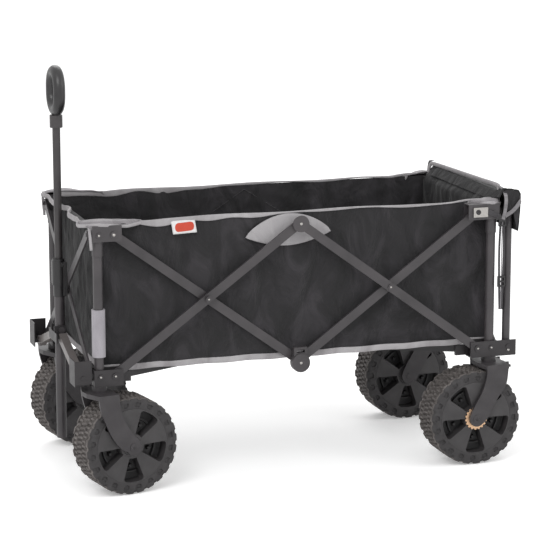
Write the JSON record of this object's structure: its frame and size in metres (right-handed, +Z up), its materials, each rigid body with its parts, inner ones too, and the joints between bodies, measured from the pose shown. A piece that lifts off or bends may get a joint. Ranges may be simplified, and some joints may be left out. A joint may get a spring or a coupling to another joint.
{
  "type": "folding utility wagon",
  "caption": "Folding utility wagon with a fabric tub on a scissor-bar frame, chunky wheels, front casters and a telescoping pull handle.",
  "frame": {"origin": "on the ground, under the middle of the wagon's footprint", "axes": "+X towards the tail end, -X towards the pull handle, +Z up"},
  "size_m": [0.939, 0.5017, 0.8345],
  "materials": {
    "frame_steel": "dark charcoal powder coat, satin",
    "bracket_steel": "dark charcoal powder coat, satin",
    "sleeve_fabric": "grey woven cover",
    "tub_fabric": "black woven polyester with grey piping",
    "board_fabric": "black woven cover over stiff boards",
    "fork_plastic": "dark grey moulded plastic",
    "rim_plastic": "dark grey moulded plastic",
    "tyre_rubber": "dark grey, chunky tread",
    "handle_plastic": "black moulded plastic, satin"
  },
  "bodies": {
    "rear_near": {"post_rear_near": "frame_steel", "bracket_rear_near": "bracket_steel", "fork_rear_near": "fork_plastic", "stanchion_near": "frame_steel"},
    "rear_far": {"post_rear_far": "frame_steel", "bracket_rear_far": "bracket_steel", "fork_rear_far": "fork_plastic", "stanchion_far": "frame_steel"},
    "front_near": {"post_front_near": "frame_steel", "bracket_front_near": "bracket_steel", "post_sleeve": "sleeve_fabric"},
    "front_far": {"post_front_far": "frame_steel", "bracket_front_far": "bracket_steel"},
    "top_rear_near": {"upper_rear_near": "frame_steel", "tub": "tub_fabric", "tail_pouch": "tub_fabric"},
    "top_rear_far": {"upper_rear_far": "frame_steel"},
    "top_front_near": {"upper_front_near": "frame_steel"},
    "top_front_far": {"upper_front_far": "frame_steel"},
    "bar_near_rear_outer": {"side_bar_near_rear_outer": "frame_steel"},
    "bar_near_rear_inner": {"side_bar_near_rear_inner": "frame_steel"},
    "bar_near_front_outer": {"side_bar_near_front_outer": "frame_steel"},
    "bar_near_front_inner": {"side_bar_near_front_inner": "frame_steel"},
    "bar_far_rear_outer": {"side_bar_far_rear_outer": "frame_steel"},
    "bar_far_rear_inner": {"side_bar_far_rear_inner": "frame_steel"},
    "bar_far_front_outer": {"side_bar_far_front_outer": "frame_steel"},
    "bar_far_front_inner": {"side_bar_far_front_inner": "frame_steel"},
    "end_rear_inner": {"end_bar_rear_inner": "frame_steel"},
    "end_rear_outer": {"end_bar_rear_outer": "frame_steel"},
    "end_front_inner": {"end_bar_front_inner": "frame_steel"},
    "end_front_outer": {"end_bar_front_outer": "frame_steel"},
    "base_rear_near": {"base_arm_rear_near": "frame_steel"},
    "base_rear_far": {"base_arm_rear_far": "frame_steel"},
    "base_front_near": {"base_arm_front_near": "frame_steel"},
    "base_front_far": {"base_arm_front_far": "frame_steel"},
    "arm_near": {"cross_arm_near": "bracket_steel"},
    "arm_far": {"cross_arm_far": "bracket_steel"},
    "handle_mount": {"handle_bracket": "bracket_steel"},
    "handle": {"handle_tube": "frame_steel", "handle_collar": "handle_plastic"},
    "lever": {"handle_lever": "handle_plastic"},
    "shaft": {"handle_shaft": "frame_steel", "grip": "handle_plastic"},
    "fork_front_near": {"fork_front_near": "fork_plastic"},
    "fork_front_far": {"fork_front_far": "fork_plastic"},
    "wheel_front_near": {"rim_front_near": "rim_plastic", "tyre_front_near": "tyre_rubber"},
    "wheel_front_far": {"rim_front_far": "rim_plastic", "tyre_front_far": "tyre_rubber"},
    "wheel_rear_near": {"rim_rear_near": "rim_plastic", "tyre_rear_near": "tyre_rubber"},
    "wheel_rear_far": {"rim_rear_far": "rim_plastic", "tyre_rear_far": "tyre_rubber"},
    "pedal_near": {"brake_pedal_near": "fork_plastic"},
    "pedal_far": {"brake_pedal_far": "fork_plastic"},
    "board_near": {"floor_board_near": "board_fabric"},
    "board_far": {"floor_board_far": "board_fabric"}
  },
  "joints": [
    {"name": "fold", "type": "hinge", "parent": "rear_near", "child": "bar_near_rear_outer", "pos_m": [0.385, -0.195, 0.2405], "axis": [0, 1, 0], "range_deg": [0, 37.2], "deforming": ["tub", "tail_pouch", "floor_board_near", "floor_board_far"]},
    {"name": "fold_near_rear_inner", "type": "hinge", "parent": "bar_near_rear_outer", "child": "bar_near_rear_inner", "pos_m": [0.1925, -0.195, 0.382], "axis": [0, 1, 0], "range_deg": [-75.14, 0]},
    {"name": "fold_near_front_outer", "type": "hinge", "parent": "bar_near_rear_outer", "child": "bar_near_front_outer", "pos_m": [0, -0.195, 0.5235], "axis": [0, 1, 0], "range_deg": [-75.14, 0]},
    {"name": "fold_near_front_inner", "type": "hinge", "parent": "bar_near_front_outer", "child": "bar_near_front_inner", "pos_m": [-0.1925, -0.195, 0.382], "axis": [0, 1, 0], "range_deg": [0, 75.14]},
    {"name": "fold_front_near_low", "type": "hinge", "parent": "bar_near_front_outer", "child": "front_near", "pos_m": [-0.385, -0.195, 0.2405], "axis": [0, 1, 0], "range_deg": [0, 37.57]},
    {"name": "fold_front_near_top", "type": "hinge", "parent": "bar_near_front_inner", "child": "top_front_near", "pos_m": [-0.385, -0.195, 0.5235], "axis": [0, 1, 0], "range_deg": [-37.57, 0]},
    {"name": "fold_far_rear_outer", "type": "hinge", "parent": "rear_far", "child": "bar_far_rear_outer", "pos_m": [0.385, 0.195, 0.2405], "axis": [0, 1, 0], "range_deg": [0, 37.57]},
    {"name": "fold_far_rear_inner", "type": "hinge", "parent": "bar_far_rear_outer", "child": "bar_far_rear_inner", "pos_m": [0.1925, 0.195, 0.382], "axis": [0, 1, 0], "range_deg": [-75.14, 0]},
    {"name": "fold_far_front_outer", "type": "hinge", "parent": "bar_far_rear_outer", "child": "bar_far_front_outer", "pos_m": [0, 0.195, 0.5235], "axis": [0, 1, 0], "range_deg": [-75.14, 0]},
    {"name": "fold_far_front_inner", "type": "hinge", "parent": "bar_far_front_outer", "child": "bar_far_front_inner", "pos_m": [-0.1925, 0.195, 0.382], "axis": [0, 1, 0], "range_deg": [0, 75.14]},
    {"name": "fold_front_far_low", "type": "hinge", "parent": "bar_far_front_outer", "child": "front_far", "pos_m": [-0.385, 0.195, 0.2405], "axis": [0, 1, 0], "range_deg": [0, 37.57]},
    {"name": "fold_front_far_top", "type": "hinge", "parent": "bar_far_front_inner", "child": "top_front_far", "pos_m": [-0.385, 0.195, 0.5235], "axis": [0, 1, 0], "range_deg": [-37.57, 0]},
    {"name": "fold_rear_near_top", "type": "hinge", "parent": "bar_near_rear_inner", "child": "top_rear_near", "pos_m": [0.385, -0.195, 0.5235], "axis": [0, 1, 0], "range_deg": [0, 37.57]},
    {"name": "fold_end_rear_inner", "type": "hinge", "parent": "rear_near", "child": "end_rear_inner", "pos_m": [0.43235, -0.1925, 0.2405], "axis": [1, 0, 0], "range_deg": [0, 37.57]},
    {"name": "fold_end_rear_outer", "type": "hinge", "parent": "end_rear_inner", "child": "end_rear_outer", "pos_m": [0.43235, 0, 0.382], "axis": [1, 0, 0], "range_deg": [-75.14, 0]},
    {"name": "fold_end_front_inner", "type": "hinge", "parent": "front_near", "child": "end_front_inner", "pos_m": [-0.43235, -0.1925, 0.2405], "axis": [1, 0, 0], "range_deg": [0, 37.57]},
    {"name": "fold_end_front_outer", "type": "hinge", "parent": "end_front_inner", "child": "end_front_outer", "pos_m": [-0.43235, 0, 0.382], "axis": [1, 0, 0], "range_deg": [-75.14, 0]},
    {"name": "fold_rear_far_low", "type": "hinge", "parent": "end_rear_outer", "child": "rear_far", "pos_m": [0.43235, 0.1925, 0.2405], "axis": [1, 0, 0], "range_deg": [0, 37.57]},
    {"name": "fold_rear_far_top", "type": "hinge", "parent": "end_rear_inner", "child": "top_rear_far", "pos_m": [0.43235, 0.1925, 0.5235], "axis": [1, 0, 0], "range_deg": [-37.57, 0]},
    {"name": "fold_base_rear_near", "type": "hinge", "parent": "rear_near", "child": "base_rear_near", "pos_m": [0.357, -0.166, 0.2335], "axis": [0.4216, 0.9068, 0], "range_deg": [0, 78.9]},
    {"name": "fold_base_rear_far", "type": "hinge", "parent": "rear_far", "child": "base_rear_far", "pos_m": [0.357, 0.166, 0.2335], "axis": [-0.4216, 0.9068, 0], "range_deg": [0, 78.9]},
    {"name": "fold_base_front_near", "type": "hinge", "parent": "front_near", "child": "base_front_near", "pos_m": [-0.357, -0.166, 0.2335], "axis": [0.4216, -0.9068, 0], "range_deg": [0, 78.9]},
    {"name": "fold_base_front_far", "type": "hinge", "parent": "front_far", "child": "base_front_far", "pos_m": [-0.357, 0.166, 0.2335], "axis": [-0.4216, -0.9068, 0], "range_deg": [0, 78.9]},
    {"name": "fold_cross_arm_near", "type": "hinge", "parent": "front_near", "child": "arm_near", "pos_m": [-0.448, -0.175, 0.2335], "axis": [1, 0, 0], "range_deg": [0, 63.12]},
    {"name": "fold_cross_arm_far", "type": "hinge", "parent": "front_far", "child": "arm_far", "pos_m": [-0.448, 0.175, 0.2335], "axis": [1, 0, 0], "range_deg": [-63.12, 0]},
    {"name": "fold_handle_mount", "type": "hinge", "parent": "arm_near", "child": "handle_mount", "pos_m": [-0.448, -0.0245, 0.2835], "axis": [1, 0, 0], "range_deg": [-63.12, 0]},
    {"name": "handle_tilt", "type": "hinge", "parent": "handle_mount", "child": "handle", "pos_m": [-0.448, 0, 0.2965], "axis": [0, -1, 0], "range_deg": [0, 28]},
    {"name": "collar_lever", "type": "hinge", "parent": "handle", "child": "lever", "pos_m": [-0.44, -0.02, 0.4325], "axis": [-1, 0, 0], "range_deg": [0, 18], "stiffness_Nm_per_rad": 0.25},
    {"name": "handle_slide", "type": "slide", "parent": "handle", "child": "shaft", "axis": [0, 0, -1], "range_m": [0, 0.262]},
    {"name": "swivel_near", "type": "hinge", "parent": "front_near", "child": "fork_front_near", "pos_m": [-0.415, -0.195, 0.2], "axis": [0, 0, 1], "continuous": true},
    {"name": "swivel_far", "type": "hinge", "parent": "front_far", "child": "fork_front_far", "pos_m": [-0.415, 0.195, 0.2], "axis": [0, 0, 1], "continuous": true},
    {"name": "roll_front_near", "type": "hinge", "parent": "fork_front_near", "child": "wheel_front_near", "pos_m": [-0.36281, -0.1858, 0.099], "axis": [-0.1736, 0.9848, 0], "continuous": true},
    {"name": "roll_front_far", "type": "hinge", "parent": "fork_front_far", "child": "wheel_front_far", "pos_m": [-0.36281, 0.2042, 0.099], "axis": [-0.1736, 0.9848, 0], "continuous": true},
    {"name": "roll_rear_near", "type": "hinge", "parent": "rear_near", "child": "wheel_rear_near", "pos_m": [0.373, -0.195, 0.099], "axis": [0, 1, 0], "continuous": true},
    {"name": "roll_rear_far", "type": "hinge", "parent": "rear_far", "child": "wheel_rear_far", "pos_m": [0.373, 0.195, 0.099], "axis": [0, 1, 0], "continuous": true},
    {"name": "brake_near", "type": "hinge", "parent": "rear_near", "child": "pedal_near", "pos_m": [0.4465, -0.195, 0.2035], "axis": [0, 1, 0], "range_deg": [0, 12], "stiffness_Nm_per_rad": 0.6, "springref_deg": -8.59},
    {"name": "brake_far", "type": "hinge", "parent": "rear_far", "child": "pedal_far", "pos_m": [0.4465, 0.195, 0.2035], "axis": [0, 1, 0], "range_deg": [0, 12], "stiffness_Nm_per_rad": 0.6, "springref_deg": -8.59},
    {"name": "fold_board_near", "type": "hinge", "parent": "top_rear_near", "child": "board_near", "pos_m": [0, -0.1765, 0.2473], "axis": [1, 0, 0], "range_deg": [0, 89.05]},
    {"name": "fold_board_far", "type": "hinge", "parent": "top_rear_far", "child": "board_far", "pos_m": [0, 0.1765, 0.2473], "axis": [1, 0, 0], "range_deg": [-89.05, 0]}
  ],
  "couplings": [
    {"joint": "fold_near_rear_inner", "follows": "fold", "ratio": -2},
    {"joint": "fold_near_front_outer", "follows": "fold", "ratio": -2},
    {"joint": "fold_near_front_inner", "follows": "fold", "ratio": 2},
    {"joint": "fold_front_near_low", "follows": "fold", "ratio": 1},
    {"joint": "fold_front_near_top", "follows": "fold", "ratio": -1},
    {"joint": "fold_far_rear_outer", "follows": "fold", "ratio": 1},
    {"joint": "fold_far_rear_inner", "follows": "fold", "ratio": -2},
    {"joint": "fold_far_front_outer", "follows": "fold", "ratio": -2},
    {"joint": "fold_far_front_inner", "follows": "fold", "ratio": 2},
    {"joint": "fold_front_far_low", "follows": "fold", "ratio": 1},
    {"joint": "fold_front_far_top", "follows": "fold", "ratio": -1},
    {"joint": "fold_rear_near_top", "follows": "fold", "ratio": 1},
    {"joint": "fold_end_rear_inner", "follows": "fold", "ratio": 1},
    {"joint": "fold_end_rear_outer", "follows": "fold", "ratio": -2},
    {"joint": "fold_end_front_inner", "follows": "fold", "ratio": 1},
    {"joint": "fold_end_front_outer", "follows": "fold", "ratio": -2},
    {"joint": "fold_rear_far_low", "follows": "fold", "ratio": 1},
    {"joint": "fold_rear_far_top", "follows": "fold", "ratio": -1},
    {"joint": "fold_base_rear_near", "follows": "fold", "ratio": 2.1},
    {"joint": "fold_base_rear_far", "follows": "fold", "ratio": 2.1},
    {"joint": "fold_base_front_near", "follows": "fold", "ratio": 2.1},
    {"joint": "fold_base_front_far", "follows": "fold", "ratio": 2.1},
    {"joint": "fold_cross_arm_near", "follows": "fold", "ratio": 1.68},
    {"joint": "fold_cross_arm_far", "follows": "fold", "ratio": -1.68},
    {"joint": "fold_handle_mount", "follows": "fold", "ratio": -1.68},
    {"joint": "fold_board_near", "follows": "fold", "ratio": 2.37},
    {"joint": "fold_board_far", "follows": "fold", "ratio": -2.37}
  ]
}
